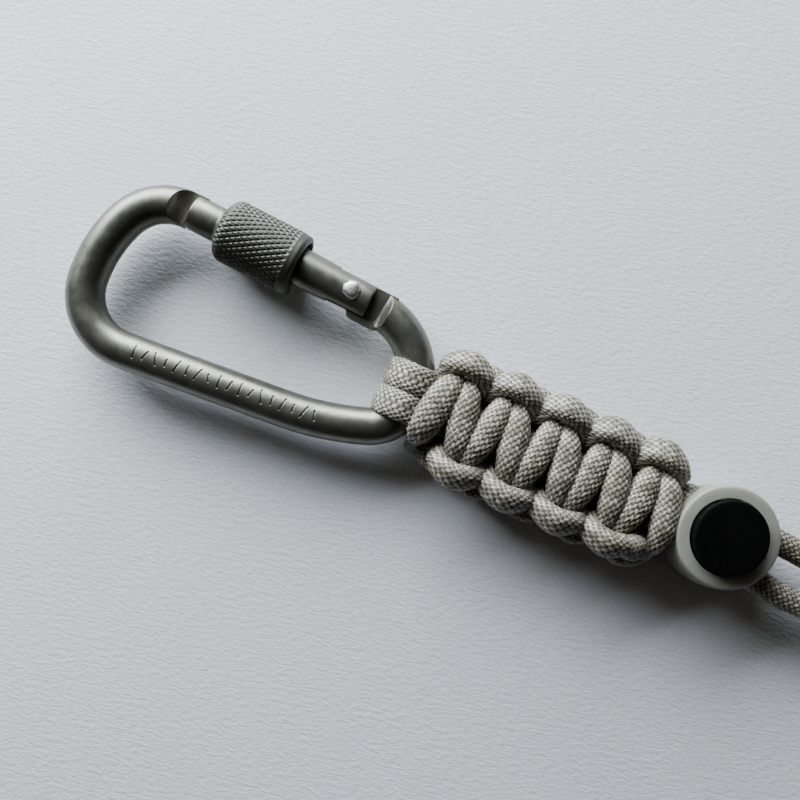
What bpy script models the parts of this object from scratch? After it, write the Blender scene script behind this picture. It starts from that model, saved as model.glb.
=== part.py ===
"""Carabiner keyring: a small screw-gate carabiner, a flat woven cord fob and a push-button cord lock.

The plan frame has +X along the carabiner's spine towards the cord and +Z up. Everything lies flat, with the
gate's axis, the weave's middle and the lock's channel all at the same height. The whole object is then moved
so that the origin is the bottom centre of its box.
"""

import math

import bmesh
import bpy
import numpy as np
from mathutils import Matrix, Vector

MM = 0.001

# ---------------------------------------------------------------- driving dimensions, in millimetres
MID_HEIGHT = 5.15  # height of the rod, gate, weave and lock channel above the table
BOX_CENTRE = (53.503, 7.058)  # plan position that becomes the origin

ROD_R = 3.0
ROD_SIDES = 16
ROD_START = (14.5, 18.83)  # where the small end's arc begins, under the hinge plate
ROD_HEADING = -7.3  # degrees, along the gate
NOSE_END_FROM_RIVET = 26.8
SMALL_END_R = 11.25
SMALL_END_TURN = 82.7  # degrees
STEP_TURN = 4.1  # degrees of the small end taken up by the hinge plate
HEEL_R = 7.0
HEEL_TURN = 74.0
BOW_R = 48.3  # the shallow bend that leads into the straight spine
BOW_TURN = 16.0
SPINE_END = -20.9
BIG_END_R = 9.1
BIG_END_TURN = 90.0
SHOULDER_R = 22.6
SHOULDER_TURN = 27.0
NOSE_TURN = 70.3

RIVET_AT = (10.0, 19.72)
RIVET_R = 1.0
RIVET_HEAD_R = 1.45
RIVET_HOLE_R = 1.25
SPOT_FACE_R = 1.75
SPOT_FACE_Z = 2.7

TANG_HALF_THICK = 1.1
TANG_R = 2.6
TANG_INNER = 3.95
TANG_CAM_RISE = 0.42

GATE_R = 3.1
GATE_HINGE_R = 2.95
GATE_TIP_R = 2.83
GATE_BACK = -3.2  # end face behind the rivet
GATE_STEP = 23.0
GATE_TIP = 29.1
POCKET_START = 26.2
FORK_END = 3.4
FORK_HALF_THICK = 1.4
BORE_R = 1.7
BORE_END = 14.0
PLUNGER_R = 1.4
PLUNGER_LENGTH = 4.2
LATCH_HALF_THICK = 1.0
LATCH_INNER = 1.6  # the tongue's inner edge
LATCH_CLEARANCE = 0.3
LATCH_START = 20.0
SCOOP_AT = 29.45  # where the scoops are deepest, just beyond the gate's tip
SCOOP_R = 3.2
REACH = 5.0  # how far cutters stand clear of the rod and gate

SLEEVE_REAR = 8.6
SLEEVE_FRONT = 24.1
SLEEVE_R = 5.15
SLEEVE_BORE_R = 3.35
SLEEVE_REAR_BORE_R = 3.9
RING_AT = 15.0
RING_WIRE_R = 0.4
RING_GROOVE_R = 4.45
RING_GROOVE_HALF_WIDTH = 0.75

CORD_R = 1.7
WEAVE_AT = (23.80, 7.43)  # on the rod at the small end
WEAVE_HEADING = -4.0
WRAP_IN_R = 3.8
WRAP_OUT_R = 5.1
WRAP_HALF_WIDTH = 1.85
WRAP_OFFSETS = (2.5, -1.6)
KNOT_START = 4.7
KNOT_PITCH = 4.13
KNOTS = 10
CORE_OFFSET = 1.9

LOCK_AT = (52.7, 0.3)  # in the weave's frame
LOCK_HEADING = -5.5  # relative to the weave
LOCK_R = 8.85
LOCK_RIM_R = 7.75
LOCK_FOOT_R = 7.4
LOCK_HEIGHT = 10.6
LOCK_FLOOR = 0.6
LOCK_BORE_R = 6.25
CHANNEL_HALF_WIDTH = 5.4
BUTTON_R = 5.95
BUTTON_TOP = 12.2
BUTTON_FOOT = 2.5
BUTTON_SLOT_HALF_WIDTH = 5.15
BUTTON_TRAVEL = 1.3

STRAND_OFFSET = 3.2
LOOP_PIVOT = 37.0  # along the lock's channel, from the lock's axis
LOOP_LENGTH = 26.0
LOOP_HALF_WIDTH = 7.2
LOOP_DROP = 3.2


# ---------------------------------------------------------------- scene helpers
def clear_scene():
    for obj in list(bpy.data.objects):
        bpy.data.objects.remove(obj, do_unlink=True)


def material(name, colour, roughness, metallic=0.0):
    mat = bpy.data.materials.new(name)
    mat.use_nodes = True
    shader = mat.node_tree.nodes["Principled BSDF"]
    shader.inputs["Base Color"].default_value = (*colour, 1.0)
    shader.inputs["Roughness"].default_value = roughness
    shader.inputs["Metallic"].default_value = metallic
    return mat


def link(name, data, parent, mat=None, at=(0, 0, 0)):
    obj = bpy.data.objects.new(name, data)
    bpy.context.scene.collection.objects.link(obj)
    obj.parent = parent
    obj.location = Vector(at) * MM
    if mat:
        obj.data.materials.append(mat)
    return obj


def empty(name, parent, at=(0, 0, 0), heading=0.0):
    obj = link(name, None, parent, at=at)
    obj.rotation_euler = (0, 0, math.radians(heading))
    return obj


def smooth(mesh, sharp=35):
    mesh.shade_smooth()
    mesh.set_sharp_from_angle(angle=math.radians(sharp))


def mesh_of(name, points, faces):
    mesh = bpy.data.meshes.new(name)
    mesh.from_pydata([tuple(np.array(p) * MM) for p in points], [], faces)
    mesh.validate()
    smooth(mesh)
    return mesh


def turned(name, profile, steps, axis="Z"):
    """A profile of (radius, height) pairs from axis to axis, turned about Z, or about X on request."""
    bm = bmesh.new()
    verts = [bm.verts.new((r * MM, 0, h * MM)) for r, h in profile]
    edges = [bm.edges.new(pair) for pair in zip(verts, verts[1:])]
    bmesh.ops.spin(bm, geom=verts + edges, cent=(0, 0, 0), axis=(0, 0, 1), angle=math.tau, steps=steps)
    bmesh.ops.remove_doubles(bm, verts=bm.verts, dist=1e-7)
    bmesh.ops.dissolve_degenerate(bm, edges=bm.edges, dist=1e-7)
    bmesh.ops.recalc_face_normals(bm, faces=bm.faces)
    if axis == "X":
        bm.transform(Matrix.Rotation(math.pi / 2, 4, "Y"))
    mesh = bpy.data.meshes.new(name)
    bm.to_mesh(mesh)
    bm.free()
    smooth(mesh)
    return mesh


def ring_profile(name, profile, steps, axis="Z"):
    """A closed profile that stays off the axis, turned into a ring."""
    return turned(name, list(profile) + [profile[0]], steps, axis)


def swept(name, rings):
    """A closed body through rings of points, with a flat cap on each end."""
    points = [p for ring in rings for p in ring]
    sides = len(rings[0])
    faces = [tuple(reversed(range(sides)))]
    for i in range(len(rings) - 1):
        for j in range(sides):
            a, b = i * sides + j, i * sides + (j + 1) % sides
            faces.append((a, b, b + sides, a + sides))
    faces.append(tuple(range(len(points) - sides, len(points))))
    return mesh_of(name, points, faces)


def frames_along(path):
    """Unit tangents along a path of points."""
    path = np.asarray(path, float)
    tangents = np.gradient(path, axis=0)
    return tangents / np.linalg.norm(tangents, axis=1)[:, None]


def cord_rings(path, half_wide, half_thick, outward, sides=8):
    """Elliptical sections along path. outward is each section's thin direction."""
    path = np.asarray(path, float)
    tangents = frames_along(path)
    angles = np.linspace(0, math.tau, sides, endpoint=False) + math.pi / sides
    rings = []
    for p, t, u, v, out in zip(path, tangents, half_wide, half_thick, outward):
        thin = out - t * np.dot(out, t)
        thin = thin / np.linalg.norm(thin)
        wide = np.cross(thin, t)
        rings.append([p + wide * u * math.cos(a) + thin * v * math.sin(a) for a in angles])
    return rings


def round_cord(name, path, radius, sides=8, rounded=(False, False)):
    """A round cord. A rounded end is a half ball centred on the path's end point."""
    path = np.asarray(path, float)
    radii = np.full(len(path), float(radius))
    for end in (0, 1):
        if not rounded[end]:
            continue
        tip = path[0] if end == 0 else path[-1]
        step = tip - (path[1] if end == 0 else path[-2])
        step = step / np.linalg.norm(step)
        turns = np.radians([35, 65, 82])
        extra = np.array([tip + step * radius * math.sin(a) for a in turns])
        extra_r = radius * np.cos(turns)
        if end == 0:
            path, radii = np.vstack([extra[::-1], path]), np.concatenate([extra_r[::-1], radii])
        else:
            path, radii = np.vstack([path, extra]), np.concatenate([radii, extra_r])
    tangents = frames_along(path)
    lean = np.array([0.0, 0.0, 1.0])
    outward = np.array([lean if abs(t[2]) < 0.9 else np.array([0.0, 1.0, 0.0]) for t in tangents])
    return swept(name, cord_rings(path, radii, radii, outward, sides))


def coil(radius_a, radius_b, start, end, turns, per_turn=10):
    """Points of a coil along +X from start to end."""
    count = int(turns * per_turn)
    points = []
    for i in range(count + 1):
        f = i / count
        angle = math.tau * turns * f
        radius = radius_a + (radius_b - radius_a) * f
        points.append((start + (end - start) * f, radius * math.cos(angle), radius * math.sin(angle)))
    return np.array(points)


def coil_mesh(name, points, wire_r, axis, sides=6):
    """A spring whose sections stay square to its coil; axis is the direction the coil climbs."""
    outward = []
    for p in points:
        arm = p - axis * np.dot(p, axis)
        outward.append(arm / np.linalg.norm(arm))
    radii = np.full(len(points), wire_r)
    return swept(name, cord_rings(points, radii, radii, outward, sides))


def cutter(name, mesh, parent, at=(0, 0, 0)):
    obj = link(name, mesh, parent, at=at)
    obj.hide_render = True
    obj.display_type = "WIRE"
    return obj


def box_mesh(name, low, high):
    """A box between two corners."""
    bm = bmesh.new()
    bmesh.ops.create_cube(bm, size=1.0)
    low, high = Vector(low), Vector(high)
    for vert in bm.verts:
        vert.co = Vector([low[i] + (vert.co[i] + 0.5) * (high[i] - low[i]) for i in range(3)]) * MM
    mesh = bpy.data.meshes.new(name)
    bm.to_mesh(mesh)
    bm.free()
    return mesh


def cylinder_mesh(name, radius, low, high, axis="Z", steps=20):
    return turned(name, [(0, low), (radius, low), (radius, high), (0, high)], steps, axis)


def boolean(obj, tool, operation="DIFFERENCE"):
    mod = obj.modifiers.new(tool.name, "BOOLEAN")
    mod.object = tool
    mod.operation = operation
    mod.solver = "EXACT"


# ---------------------------------------------------------------- carabiner frame
def bend(points, heading, radius, turn, step=9.0):
    """Carries a path on round a clockwise arc and returns the new heading, in degrees."""
    start = np.array(points[-1])
    h = math.radians(heading)
    centre = start + radius * np.array([math.sin(h), -math.cos(h)])
    count = max(2, round(turn / step))
    for i in range(1, count + 1):
        a = h - math.radians(turn * i / count)
        points.append(tuple(centre + radius * np.array([-math.sin(a), math.cos(a)])))
    return heading - turn


def rod_path():
    """Centre line of the bent rod from its hinge end, clockwise round to the latch end."""
    points = [ROD_START]
    heading = bend(points, ROD_HEADING, SMALL_END_R, STEP_TURN)
    points = points[-1:]  # the round rod begins at the step behind the hinge
    heading = bend(points, heading, SMALL_END_R, SMALL_END_TURN - STEP_TURN)
    heading = bend(points, heading, HEEL_R, HEEL_TURN)
    heading = bend(points, heading, BOW_R, BOW_TURN)
    points.append((SPINE_END, points[-1][1]))
    heading = bend(points, heading, BIG_END_R, BIG_END_TURN)
    heading = bend(points, heading, SHOULDER_R, SHOULDER_TURN)
    bend(points, heading, BIG_END_R, NOSE_TURN)
    return points


def gate_point(x, y=0.0):
    """Plan position of a point in the gate's frame: x towards the latch, y into the eye."""
    h = math.radians(180 + ROD_HEADING)
    return (
        RIVET_AT[0] + x * math.cos(h) - y * math.sin(h),
        RIVET_AT[1] + x * math.sin(h) + y * math.cos(h),
    )


def tang_outline():
    """Plan outline of the hinge plate in the gate's frame, with a cam for the gate's plunger."""
    outline = [(-7.0, -TANG_R), (0.0, -TANG_R)]
    for angle in range(-75, 91, 15):
        rise = 0.0
        if 0 < angle <= 30:
            rise = TANG_CAM_RISE * angle / 30
        elif angle > 30:
            rise = TANG_CAM_RISE + (TANG_INNER - TANG_R - TANG_CAM_RISE) * (angle - 30) / 60
        a = math.radians(angle)
        outline.append(((TANG_R + rise) * math.cos(a), (TANG_R + rise) * math.sin(a)))
    outline += [(-4.6, TANG_INNER), (-5.3, 3.3), (-7.0, 2.6)]
    return outline


def plate_mesh(name, outline, low, high):
    count = len(outline)
    points = [(x, y, low) for x, y in outline] + [(x, y, high) for x, y in outline]
    faces = [tuple(reversed(range(count))), tuple(range(count, 2 * count))]
    for i in range(count):
        j = (i + 1) % count
        faces.append((i, j, j + count, i + count))
    return mesh_of(name, points, faces)


def make_frame(plan, gate_frame, metal):
    """The bent rod with its hinge plate and latch tongue."""
    path = rod_path()
    nose = gate_point(NOSE_END_FROM_RIVET)
    path.append(nose)
    centre = [(x, y, MID_HEIGHT) for x, y in path]
    obj = link("carabiner_frame", round_cord("carabiner_frame", centre, ROD_R, ROD_SIDES), plan, metal)

    plate = plate_mesh("tang_plate", tang_outline(), -TANG_HALF_THICK, TANG_HALF_THICK)
    tang = cutter("tang_plate", plate, gate_frame)
    boolean(obj, tang, "UNION")
    hole = cylinder_mesh("tang_hole", RIVET_HOLE_R, -REACH, REACH)
    boolean(obj, cutter("tang_hole", hole, gate_frame))

    for side, name in ((1, "upper"), (-1, "lower")):
        height = side * (LATCH_HALF_THICK + SCOOP_R)
        scoop = cylinder_mesh(f"{name}_scoop", SCOOP_R, -REACH, REACH, steps=32)
        scoop.transform(Matrix.Rotation(math.pi / 2, 4, "X"))
        boolean(obj, cutter(f"{name}_scoop", scoop, gate_frame, (SCOOP_AT, 0, height)))
        low, high = sorted((side * LATCH_HALF_THICK, side * REACH))
        flat = box_mesh(f"{name}_flat", (LATCH_START, -REACH, low), (SCOOP_AT, REACH, high))
        boolean(obj, cutter(f"{name}_flat", flat, gate_frame))
    trim_end = SCOOP_AT + 0.15
    trim = box_mesh("latch_trim", (LATCH_START, LATCH_INNER, -REACH), (trim_end, REACH, REACH))
    boolean(obj, cutter("latch_trim", trim, gate_frame))


# ---------------------------------------------------------------- gate, sleeve and their inner pieces
def make_gate(gate_frame, metal):
    profile = [(0, GATE_BACK), (GATE_HINGE_R - 0.25, GATE_BACK), (GATE_HINGE_R, GATE_BACK + 0.25)]
    profile += [(GATE_HINGE_R, 3.0), (GATE_R, 8.0), (GATE_R, GATE_STEP), (GATE_TIP_R, GATE_STEP + 0.3)]
    profile += [(GATE_TIP_R, GATE_TIP - 0.2), (GATE_TIP_R - 0.2, GATE_TIP), (0, GATE_TIP)]
    obj = link("gate_barrel", turned("gate_barrel", profile, 24, "X"), gate_frame, metal)
    fork = box_mesh("fork_slot", (-6, -REACH, -FORK_HALF_THICK), (FORK_END, REACH, FORK_HALF_THICK))
    boolean(obj, cutter("fork_slot", fork, gate_frame))
    bore = cylinder_mesh("spring_bore", BORE_R, FORK_END - 1.0, BORE_END, "X", 16)
    boolean(obj, cutter("spring_bore", bore, gate_frame))
    hole = cylinder_mesh("rivet_hole", RIVET_HOLE_R, -REACH, REACH)
    boolean(obj, cutter("rivet_hole", hole, gate_frame))
    for side, name in ((1, "upper"), (-1, "lower")):
        low, high = sorted((side * SPOT_FACE_Z, side * REACH))
        spot = cylinder_mesh(f"{name}_spot_face", SPOT_FACE_R, low, high)
        boolean(obj, cutter(f"{name}_spot_face", spot, gate_frame))
    half = LATCH_HALF_THICK + LATCH_CLEARANCE
    pocket_end = (GATE_TIP + 2.0, LATCH_INNER + LATCH_CLEARANCE, half)
    pocket = box_mesh("latch_pocket", (POCKET_START, -REACH, -half), pocket_end)
    boolean(obj, cutter("latch_pocket", pocket, gate_frame))


def make_rivet(gate_frame, steel):
    head = SPOT_FACE_Z + 0.1
    profile = [(0, -head - 0.75), (0.8, -head - 0.6), (RIVET_HEAD_R, -head - 0.2), (RIVET_HEAD_R, -head)]
    profile += [(RIVET_R, -head), (RIVET_R, head), (RIVET_HEAD_R, head), (RIVET_HEAD_R, head + 0.2)]
    profile += [(0.8, head + 0.6), (0, head + 0.75)]
    link("hinge_rivet", turned("hinge_rivet", profile, 20), gate_frame, steel)


def make_plunger(gate_frame, steel):
    nose = TANG_R + 0.3
    profile = [(0, nose), (0.75, nose + 0.22), (1.2, nose + 0.68), (PLUNGER_R, nose + 1.4)]
    profile += [(PLUNGER_R, nose + PLUNGER_LENGTH), (0, nose + PLUNGER_LENGTH)]
    link("gate_plunger", turned("gate_plunger", profile, 16, "X"), gate_frame, steel)
    start = nose + PLUNGER_LENGTH + 0.45
    points = coil(1.15, 1.15, start, BORE_END - 0.5, 5)
    mesh = coil_mesh("gate_spring", points, 0.22, np.array([1.0, 0.0, 0.0]), 5)
    link("gate_spring", mesh, gate_frame, steel)


def make_sleeve(sleeve_frame, metal, rubber):
    """The sleeve turns about the gate's axis; its frame's origin is at the sleeve's rear end."""
    length = SLEEVE_FRONT - SLEEVE_REAR
    profile = [(SLEEVE_REAR_BORE_R, 0), (4.3, 0)]
    for angle in (30, 60, 90):
        a = math.radians(angle)
        profile.append((3.95 + 1.1 * math.sin(a), 1.1 - 1.1 * math.cos(a)))
    profile += [(5.05, 2.9), (SLEEVE_R, 3.1), (SLEEVE_R, length - 1.9)]
    for angle in (30, 60, 85):
        a = math.radians(angle)
        profile.append((SLEEVE_R - 1.6 + 1.6 * math.cos(a), length - 1.6 + 1.6 * math.sin(a)))
    profile += [(SLEEVE_BORE_R + 0.1, length), (SLEEVE_BORE_R, length - 0.15)]
    ring = RING_AT - SLEEVE_REAR
    for radius, edge in ((SLEEVE_BORE_R, 1), (RING_GROOVE_R, 1), (RING_GROOVE_R, -1), (SLEEVE_BORE_R, -1)):
        profile.append((radius, ring + edge * RING_GROOVE_HALF_WIDTH))
    profile += [(SLEEVE_BORE_R, 2.5), (SLEEVE_REAR_BORE_R, 2.0)]
    link("screw_sleeve", ring_profile("screw_sleeve", profile, 24, "X"), sleeve_frame, metal)

    middle = (RING_GROOVE_R + SLEEVE_BORE_R) / 2 - 0.1
    section = []
    for i in range(8):
        a = math.tau * i / 8
        section.append((middle + RING_WIRE_R * math.cos(a), ring + RING_WIRE_R * math.sin(a)))
    link("sleeve_ring", ring_profile("sleeve_ring", section, 20, "X"), sleeve_frame, rubber)


# ---------------------------------------------------------------- cord
def make_wraps(weave_frame, cord):
    """Two flattened turns of cord, side by side over the rod and open towards the weave."""
    middle = (WRAP_IN_R + WRAP_OUT_R) / 2
    half_thick = (WRAP_OUT_R - WRAP_IN_R) / 2
    angles = np.radians(np.linspace(68, 292, 20))
    outward = [np.array([math.cos(a), 0.0, math.sin(a)]) for a in angles]
    for name, offset in zip(("rod_wrap_upper", "rod_wrap_lower"), WRAP_OFFSETS):
        path = [out * middle + np.array([0.0, offset, 0.0]) for out in outward]
        wide = np.full(len(path), WRAP_HALF_WIDTH)
        thick = np.full(len(path), half_thick)
        link(name, swept(name, cord_rings(path, wide, thick, outward)), weave_frame, cord)


def smooth_path(controls, samples):
    """Catmull-Rom curve through rows of numbers, with samples steps between neighbours."""
    rows = np.asarray(controls, float)
    padded = np.vstack([2 * rows[0] - rows[1], rows, 2 * rows[-1] - rows[-2]])
    points = []
    for i in range(1, len(padded) - 2):
        a, b, c, d = padded[i - 1 : i + 3]
        for j in range(samples):
            t = j / samples
            even = 2 * b + (2 * a - 5 * b + 4 * c - d) * t * t
            odd = (c - a) * t + (3 * b - a - 3 * c + d) * t**3
            points.append(0.5 * (even + odd))
    points.append(rows[-1])
    return np.array(points)


def weave_controls():
    """Control rows of the front weaving cord: x, y, z, outward y, outward z, half width, half thickness.

    It crosses in front of the core, goes down round the edge, turns behind and comes back up to cross again.
    The mirror cord is this one turned half way about the weave's axis.
    """
    rows = []
    for k in range(KNOTS):
        side = -1.0 if k % 2 == 0 else 1.0  # the edge that this crossing runs to
        x = KNOT_START + KNOT_PITCH * k
        stations = []
        if k == 0:
            stations += [(-1.35, -1, 6.7, -1.5, 0, 0.55, 1.1), (-1.2, -1, 6.7, -0.4, 5, 0.55, 1.25)]
        stations += [
            (0.85, -1, 5.4, 2.35, 50, 0.75, 1.1),
            (0.5, -1, 3.2, 3.5, 78, 1.35, 1.15),
            (0.0, 1, 0.0, 3.6, 90, 1.7, 1.15),
            (-0.5, 1, 3.2, 3.5, 78, 1.35, 1.15),
            (-0.85, 1, 5.4, 2.35, 50, 0.75, 1.1),
            (1.2, 1, 6.7, -0.4, 5, 0.55, 1.25),
        ]
        if k < KNOTS - 1:
            stations += [
                (KNOT_PITCH / 2, 1, 7.9, -3.5, -45, 1.5, 1.1),
                (KNOT_PITCH - 1.2, 1, 6.7, -0.4, 5, 0.55, 1.25),
            ]
        for dx, across, y, z, lean, wide, thick in stations:
            edge = side * across
            a = math.radians(lean)
            rows.append((x + dx, edge * y, z, edge * math.cos(a), math.sin(a), wide, thick))
    return rows


def make_weave(weave_frame, cord):
    rows = smooth_path(weave_controls(), 2)
    for name, flip in (("weave_cord_front", 1.0), ("weave_cord_back", -1.0)):
        path = rows[:, :3] * np.array([1.0, flip, flip])
        outward = np.stack([rows[:, 0] * 0.0, rows[:, 3] * flip, rows[:, 4] * flip], axis=1)
        mesh = swept(name, cord_rings(path, rows[:, 5], rows[:, 6], outward, 6))
        link(name, mesh, weave_frame, cord)
        # The cut end is melted into a bead a little beyond the cord's last section.
        step = path[-1] - path[-2]
        step = step / np.linalg.norm(step)
        reach = (0.35, 0.7, 1.3, 1.8, 2.1)
        swell = np.array((0.75, 1.0, 1.0, 0.8, 0.35))
        bead = np.array([path[-1] + step * d for d in reach])
        side = np.array([outward[-1]] * len(reach))
        rings = cord_rings(bead, swell * 0.8, swell * 1.4, side, 8)
        link(name.replace("weave_cord", "cord_bead"), swept(name, rings), weave_frame, cord)


def lock_point(along, across, z=0.0):
    """A point of the lock's channel in the weave's frame."""
    h = math.radians(LOCK_HEADING)
    return (
        LOCK_AT[0] + along * math.cos(h) - across * math.sin(h),
        LOCK_AT[1] + along * math.sin(h) + across * math.cos(h),
        z,
    )


def make_core(weave_frame, cord):
    for name, side in (("core_cord_left", 1.0), ("core_cord_right", -1.0)):
        weave_end = KNOT_START + KNOT_PITCH * (KNOTS - 1)
        controls = [(KNOT_START - 0.2, side * CORE_OFFSET, 0), (20.0, side * CORE_OFFSET, 0)]
        controls += [(weave_end, side * CORE_OFFSET, 0), lock_point(8.0, side * STRAND_OFFSET)]
        controls += [lock_point(20.0, side * STRAND_OFFSET)]
        controls += [lock_point(LOOP_PIVOT - CORD_R - 0.4, side * STRAND_OFFSET)]
        link(name, round_cord(name, smooth_path(controls, 3), CORD_R), weave_frame, cord)


def make_loop(loop_frame, cord):
    """The loop's far end. Its frame's origin is between the two strands where it bends."""
    outline = [(0.0, STRAND_OFFSET), (5.0, STRAND_OFFSET + 0.8), (11.0, LOOP_HALF_WIDTH - 0.6)]
    outline += [(17.0, LOOP_HALF_WIDTH), (LOOP_LENGTH - 3.2, LOOP_HALF_WIDTH - 2.2)]
    outline += [(LOOP_LENGTH - 0.6, 2.6)]
    outline += [(x, -y) for x, y in reversed(outline)]
    controls = []
    for x, y in outline:
        fall = x / LOOP_LENGTH
        controls.append((x, y, -LOOP_DROP * fall * fall * (3 - 2 * fall)))
    path = smooth_path(controls, 3)
    link("loop_end", round_cord("loop_end", path, CORD_R, 8, (True, True)), loop_frame, cord)


# ---------------------------------------------------------------- cord lock
def make_lock(lock_frame, milky, black, steel):
    """The lock's frame is at the height of its channel, so heights above the table drop by that much."""

    def level(z):
        return z - MID_HEIGHT

    outer = [(0, level(0)), (LOCK_FOOT_R - 0.8, level(0)), (LOCK_FOOT_R, level(0.5))]
    outer += [(LOCK_FOOT_R + 0.9, level(2.2))]
    outer += [(LOCK_R - 0.1, level(3.8)), (LOCK_R, level(5.2)), (LOCK_R - 0.25, level(7.2))]
    outer += [(LOCK_RIM_R + 0.3, level(9.3)), (LOCK_RIM_R, level(10.2))]
    outer += [(LOCK_RIM_R - 0.4, level(LOCK_HEIGHT))]
    outer += [(0, level(LOCK_HEIGHT))]
    body = link("lock_body", turned("lock_body", outer, 32), lock_frame, milky)
    bore = cylinder_mesh("button_bore", LOCK_BORE_R, level(LOCK_FLOOR), level(15), "Z", 28)
    boolean(body, cutter("button_bore", bore, lock_frame))
    channel = box_mesh("cord_channel", (-12, -CHANNEL_HALF_WIDTH, -2.0), (12, CHANNEL_HALF_WIDTH, 2.0))
    boolean(body, cutter("cord_channel", channel, lock_frame))

    profile = [(0, level(BUTTON_FOOT)), (BUTTON_R, level(BUTTON_FOOT)), (BUTTON_R, level(BUTTON_TOP - 0.5))]
    profile += [(BUTTON_R - 0.15, level(BUTTON_TOP - 0.15)), (BUTTON_R - 0.5, level(BUTTON_TOP))]
    profile += [(0, level(BUTTON_TOP))]
    button = link("lock_button", turned("lock_button", profile, 28), lock_frame, black)
    low = level(BUTTON_FOOT + 0.8)
    high = CORD_R + BUTTON_TRAVEL + 0.15
    slot = box_mesh("button_slot", (-8, -BUTTON_SLOT_HALF_WIDTH, low), (8, BUTTON_SLOT_HALF_WIDTH, high))
    boolean(button, cutter("button_slot", slot, lock_frame))

    points = coil(4.6, 2.4, 0.95, BUTTON_FOOT - 0.35, 2.5, 12)
    points = np.stack([points[:, 1], points[:, 2], points[:, 0] - MID_HEIGHT], axis=1)
    spring = coil_mesh("lock_spring", points, 0.22, np.array([0.0, 0.0, 1.0]), 5)
    link("lock_spring", spring, lock_frame, steel)


def main():
    clear_scene()
    metal = material("frame_metal", (0.36, 0.36, 0.33), 0.38, 0.9)
    steel = material("bright_steel", (0.62, 0.61, 0.58), 0.3, 1.0)
    rubber = material("ring_rubber", (0.03, 0.03, 0.03), 0.7)
    cord = material("cord_sheath", (0.46, 0.45, 0.41), 0.6)

    origin = empty("keyring", None, (-BOX_CENTRE[0], -BOX_CENTRE[1], 0))
    gate_frame = empty("gate_axis", origin, (*RIVET_AT, MID_HEIGHT), 180 + ROD_HEADING)
    make_frame(origin, gate_frame, metal)
    make_rivet(gate_frame, steel)
    make_gate(gate_frame, metal)
    make_plunger(gate_frame, steel)
    sleeve_frame = empty("sleeve_axis", gate_frame, (SLEEVE_REAR, 0, 0))
    make_sleeve(sleeve_frame, metal, rubber)
    weave_frame = empty("weave_axis", origin, (*WEAVE_AT, MID_HEIGHT), WEAVE_HEADING)
    make_wraps(weave_frame, cord)
    make_weave(weave_frame, cord)
    make_core(weave_frame, cord)

    milky = material("lock_milky", (0.62, 0.63, 0.6), 0.35)
    black = material("lock_black", (0.012, 0.012, 0.012), 0.45)
    lock_frame = empty("lock_axis", weave_frame, (*LOCK_AT, 0), LOCK_HEADING)
    make_lock(lock_frame, milky, black, steel)
    loop_frame = empty("loop_axis", weave_frame, lock_point(LOOP_PIVOT, 0), LOCK_HEADING)
    make_loop(loop_frame, cord)


main()
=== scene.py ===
"""Carabiner keyring: fine surfaces, finishes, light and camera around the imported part.

Lengths are millimetres in each piece's own frame and become metres in the row frame when a mesh is made.
"""

import math

import bpy
import numpy as np
from mathutils import Matrix, Vector


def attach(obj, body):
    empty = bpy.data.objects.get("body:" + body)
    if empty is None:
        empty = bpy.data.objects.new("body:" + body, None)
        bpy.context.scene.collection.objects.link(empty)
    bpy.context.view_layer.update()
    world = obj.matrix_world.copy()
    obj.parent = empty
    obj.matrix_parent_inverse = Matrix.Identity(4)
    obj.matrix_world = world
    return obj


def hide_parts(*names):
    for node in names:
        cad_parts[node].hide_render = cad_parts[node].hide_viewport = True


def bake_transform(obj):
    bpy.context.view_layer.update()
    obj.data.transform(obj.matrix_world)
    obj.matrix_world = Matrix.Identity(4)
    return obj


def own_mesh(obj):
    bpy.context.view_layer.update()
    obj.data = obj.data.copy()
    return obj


MM = 0.001
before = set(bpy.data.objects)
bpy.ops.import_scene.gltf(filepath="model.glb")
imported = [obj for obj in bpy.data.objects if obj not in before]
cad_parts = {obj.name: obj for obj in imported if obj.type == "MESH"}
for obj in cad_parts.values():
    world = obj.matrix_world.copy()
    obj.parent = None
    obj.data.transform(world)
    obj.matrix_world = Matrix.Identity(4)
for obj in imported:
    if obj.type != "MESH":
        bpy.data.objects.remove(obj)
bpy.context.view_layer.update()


# ---------------------------------------------------------------- frames
MID = 5.15  # height of the rod, gate, weave and lock channel
TABLE_GAP = 0.02  # cord that lies on the table is flattened this far above it
PLAN = Matrix.Translation((-53.503, -7.058, 0))


def placed(parent, x, y, z, heading):
    return parent @ Matrix.Translation((x, y, z)) @ Matrix.Rotation(math.radians(heading), 4, "Z")


GATE = placed(PLAN, 10.0, 19.72, MID, 172.7)
SLEEVE = placed(GATE, 8.6, 0, 0, 0)
WEAVE = placed(PLAN, 23.80, 7.43, MID, -4.0)
LOCK = placed(WEAVE, 52.7, 0.3, 0, -5.5)


def to_row(points, matrix):
    m = np.array(matrix)
    return (points @ m[:3, :3].T + m[:3, 3]) * MM


# ---------------------------------------------------------------- meshes
def finish_mesh(obj, sharp=None):
    obj.data.shade_smooth()
    if sharp:
        obj.data.set_sharp_from_angle(angle=math.radians(sharp))
    return obj


def add_object(name, mesh):
    obj = bpy.data.objects.new(name, mesh)
    bpy.context.scene.collection.objects.link(obj)
    return obj


def solid(name, points, faces, matrix, sharp=30):
    """A closed mesh with its faces turned outwards."""
    points = np.asarray(points, float)
    volume = 0.0
    for f in faces:
        a = points[f[0]]
        for i in range(1, len(f) - 1):
            volume += np.dot(a, np.cross(points[f[i]], points[f[i + 1]]))
    if volume < 0:
        faces = [tuple(reversed(f)) for f in faces]
    mesh = bpy.data.meshes.new(name)
    mesh.from_pydata(to_row(points, matrix).tolist(), [], [tuple(int(i) for i in f) for f in faces])
    return finish_mesh(add_object(name, mesh), sharp)


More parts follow.
